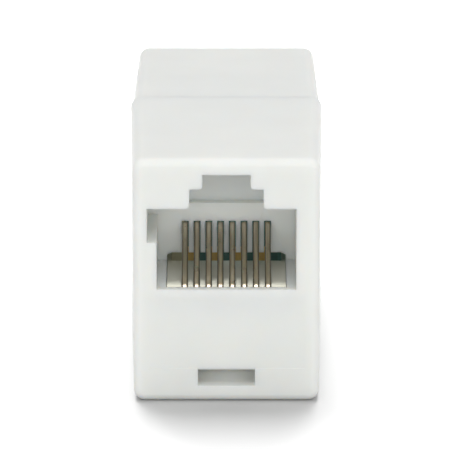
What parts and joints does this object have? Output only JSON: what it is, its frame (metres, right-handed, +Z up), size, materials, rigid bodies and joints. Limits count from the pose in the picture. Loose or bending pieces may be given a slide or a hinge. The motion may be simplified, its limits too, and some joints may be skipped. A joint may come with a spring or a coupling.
{
  "type": "modular jack inline coupler",
  "caption": "White two-part rectangular coupler with a modular data jack at each end, wire contacts on carriers and a circuit board between them.",
  "frame": {"origin": "on the seam plane between the halves, under the middle of the flat base", "axes": "+Z up from the base, +Y along the length towards the rear jack, +X across the width; the front jack faces -Y"},
  "size_m": [0.0168, 0.036, 0.022],
  "materials": {
    "housing": "satin moulded",
    "carrier": "glossy moulded",
    "contact": "nickel and thin gold plating",
    "board": "satin solder mask",
    "pads": "flat gold plating",
    "solder": "bright solder"
  },
  "bodies": {
    "root": {"front_housing": "housing", "rear_housing": "housing", "front_contact_carrier": "carrier", "rear_contact_carrier": "carrier", "circuit_board": "board", "board_pads": "pads", "solder_joints": "solder", "front_contact_1": "contact", "front_contact_2": "contact", "front_contact_3": "contact", "front_contact_4": "contact", "front_contact_5": "contact", "front_contact_6": "contact", "front_contact_7": "contact", "front_contact_8": "contact", "rear_contact_1": "contact", "rear_contact_2": "contact", "rear_contact_3": "contact", "rear_contact_4": "contact", "rear_contact_5": "contact", "rear_contact_6": "contact", "rear_contact_7": "contact", "rear_contact_8": "contact"}
  },
  "joints": []
}
